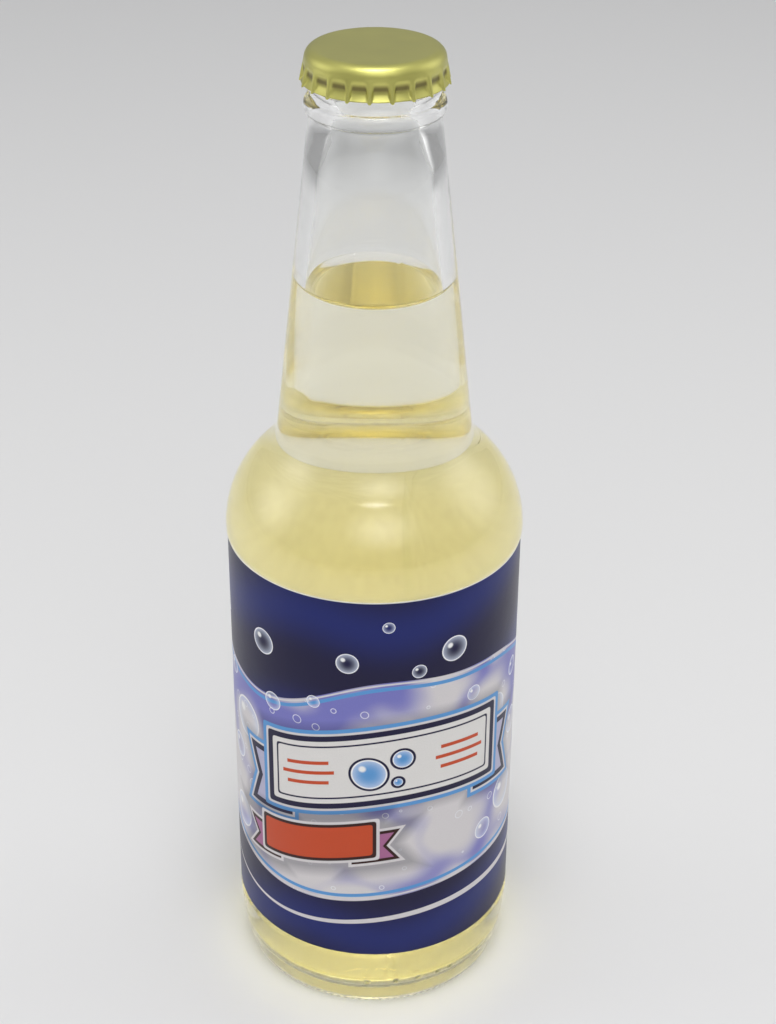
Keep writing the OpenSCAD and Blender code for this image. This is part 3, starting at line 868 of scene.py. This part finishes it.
# painted shade: the lacquer is darkened in a band where the valleys are pressed in, standing for the shade in
# that crease and for some grime
split = add(tree, "ShaderNodeSeparateXYZ")
feed(tree, split.inputs["Vector"], place.outputs["Object"])
from_axis = shift(tree, "LENGTH", shift(tree, "MULTIPLY", place.outputs["Object"], (1, 1, 0)))
crease_z, crease_half, crease_fade = (pinch_z + 0.5) * MM, 0.6 * MM, 0.4 * MM
crease_r, valley_fade = (pinch_r + 0.25) * MM, 0.15 * MM
off_crease = calc(tree, "ABSOLUTE", calc(tree, "SUBTRACT", split.outputs["Z"], crease_z))
crease_shade = calc(tree, "MULTIPLY", within(tree, calc(tree, "SUBTRACT", off_crease, crease_half), crease_fade),
              within(tree, calc(tree, "SUBTRACT", from_axis, crease_r), valley_fade))
# the crease band gets its painted shade here
lacquer = ink(tree, lacquer, (0.12, 0.09, 0.02), calc(tree, "MULTIPLY", crease_shade, 0.85))
feed(tree, shader.inputs["Base Color"], lacquer)
feed(tree, shader.inputs["Roughness"], calc(
    tree, "ADD", cloudy.outputs["Value"], scratch.outputs["Value"]))
relief = add(tree, "ShaderNodeBump")
feed(tree, relief.inputs["Height"], calc(
    tree, "MULTIPLY_ADD", scratch.outputs["Amount"], 0.3, cloudy.outputs["Amount"]))
relief.inputs["Strength"].default_value = 0.12
relief.inputs["Distance"].default_value = 0.0002
feed(tree, shader.inputs["Normal"], relief.outputs["Normal"])
crown_cap.data.materials.append(gold_tinplate)
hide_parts("crown_shell")
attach(crown_cap, "crown")


# ---------------------------------------------------------------------------------------
# Studio. A pale matt floor, soft lamps above, in front and at each side, hidden lamps inside
# the drink, and the camera.
# ---------------------------------------------------------------------------------------

floor_mesh = bpy.data.meshes.new("studio_floor")
half = 12.0
floor_mesh.from_pydata(
    [(-half, -half, 0), (half, -half, 0), (half, half, 0), (-half, half, 0)], [], [(0, 1, 2, 3)])
studio_floor = bpy.data.objects.new("studio_floor", floor_mesh)
bpy.context.collection.objects.link(studio_floor)
pale_floor, shader = new_material("pale_floor")
shader.inputs["Base Color"].default_value = (0.78, 0.775, 0.77, 1)
shader.inputs["Roughness"].default_value = 0.55
floor_mesh.materials.append(pale_floor)

world = bpy.data.worlds.new("studio")
bpy.context.scene.world = world
world.use_nodes = True
tree = world.node_tree
sky_light = tree.nodes["Background"]
look = add(tree, "ShaderNodeTexCoord")
split = add(tree, "ShaderNodeSeparateXYZ")
feed(tree, split.inputs["Vector"], look.outputs["Generated"])
height = add(tree, "ShaderNodeMapRange", interpolation_type="SMOOTHSTEP")
feed(tree, height.inputs["Value"], split.outputs["Z"])
height.inputs["From Min"].default_value = -0.1
height.inputs["From Max"].default_value = 0.9
feed(tree, sky_light.inputs["Color"], ink(
    tree, (0.50, 0.50, 0.50), (0.85, 0.86, 0.88), height.outputs["Result"]))
sky_light.inputs["Strength"].default_value = 0.57


def soft_lamp(name, place, target, size, power):
    """A lamp turned to face a target, whose light fades smoothly from its middle to its rim."""
    data = bpy.data.lights.new(name, "AREA")
    data.shape = "RECTANGLE"
    data.size, data.size_y = size
    data.energy = power
    data.use_nodes = True
    spread = data.node_tree
    across_lamp = add(spread, "ShaderNodeNewGeometry")
    off_middle = shift(spread, "MULTIPLY_ADD", across_lamp.outputs["Parametric"], (2, 2, 0), (-1, -1, 0))
    fall = calc(spread, "SUBTRACT", 1.0, shift(spread, "LENGTH", off_middle))
    glow = add(spread, "ShaderNodeMapRange", interpolation_type="SMOOTHSTEP")
    feed(spread, glow.inputs["Value"], fall)
    glow.inputs["To Max"].default_value = 3.0
    feed(spread, spread.nodes["Emission"].inputs["Strength"], glow.outputs["Result"])
    lamp = bpy.data.objects.new(name, data)
    lamp.location = place
    lamp.rotation_euler = (Vector(target) - Vector(place)).to_track_quat("-Z", "Y").to_euler()
    bpy.context.collection.objects.link(lamp)
    return lamp


soft_lamp("top_lamp", (0.0, -0.32, 1.3), (0, 0, 0.12), (0.8, 0.55), 10)
soft_lamp("front_lamp", (0.12, -0.95, 0.95), (0, 0, 0.12), (1.7, 1.3), 4)
soft_lamp("left_lamp", (-0.95, 0.1, 0.5), (0, 0, 0.1), (1.2, 1.4), 2.4)
soft_lamp("right_lamp", (0.85, 0.25, 0.5), (0, 0, 0.1), (1.2, 1.4), 2.1)

# Hidden lamps on the bottle's axis light the drink from inside. They add light that the soft
# lamps alone don't give: with them switched off, the drink and the heel are much darker. Two
# warm discs shine down on the base and up at the back of the label, and two white points stand
# above them. They belong to the studio and are not attached to the bottle's bodies.
disc_size, point_size = 0.036, 0.008
spread_down, spread_up = np.radians(120), np.radians(180)
for glow_kind, glow_z, glow_turn, glow_power, glow_ink in (
        ("AREA", 0.015, 0, 0.010, (1, 0.93, 0.50)), ("AREA", 0.018, np.pi, 0.052, (1, 0.97, 0.66)),
        ("POINT", 0.07, 0, 0.010, (1, 1, 1)), ("POINT", 0.105, 0, 0.022, (1, 1, 1))):
    glow_data = bpy.data.lights.new("gathered_light", glow_kind)
    glow_data.energy = glow_power
    glow_data.color = glow_ink
    if glow_kind == "AREA":
        glow_data.shape = "DISK"
        glow_data.size = disc_size
        glow_data.spread = spread_up if glow_turn else spread_down
    else:
        glow_data.shadow_soft_size = point_size
    gathered_light = bpy.data.objects.new("gathered_light", glow_data)
    gathered_light.location = (0, 0, glow_z)
    gathered_light.rotation_euler = (glow_turn, 0, 0)
    gathered_light.visible_camera = False
    gathered_light.visible_glossy = False
    gathered_light.visible_transmission = False
    bpy.context.collection.objects.link(gathered_light)

camera_data = bpy.data.cameras.new("camera")
camera_data.sensor_width = 36
camera_data.lens = 70.3
camera_data.clip_start = 0.01
camera_place = Vector((0, -0.3662, 0.3292))
camera = bpy.data.objects.new("camera", camera_data)
bpy.context.collection.objects.link(camera)
pitch, yaw, roll = 0.532, 0.0079, 0.0064
across = Vector((np.cos(yaw), -np.sin(yaw), 0))
ahead = Vector((np.sin(yaw), np.cos(yaw), 0))
aim = ahead * np.cos(pitch) - Vector((0, 0, np.sin(pitch)))
above = ahead * np.sin(pitch) + Vector((0, 0, np.cos(pitch)))
right = across * np.cos(roll) + above * np.sin(roll)
top = above * np.cos(roll) - across * np.sin(roll)
turn_to = Matrix((right, top, -aim)).transposed().to_4x4()
camera.matrix_world = Matrix.Translation(camera_place) @ turn_to
bpy.context.scene.camera = camera

bpy.context.scene.view_settings.view_transform = "Standard"
# light crosses many faces of glass and drink before it leaves the bottle
light_paths = bpy.context.scene.cycles
light_paths.max_bounces = 96
light_paths.transmission_bounces = 96
light_paths.glossy_bounces = 12
light_paths.diffuse_bounces = 6
light_paths.transparent_max_bounces = 24
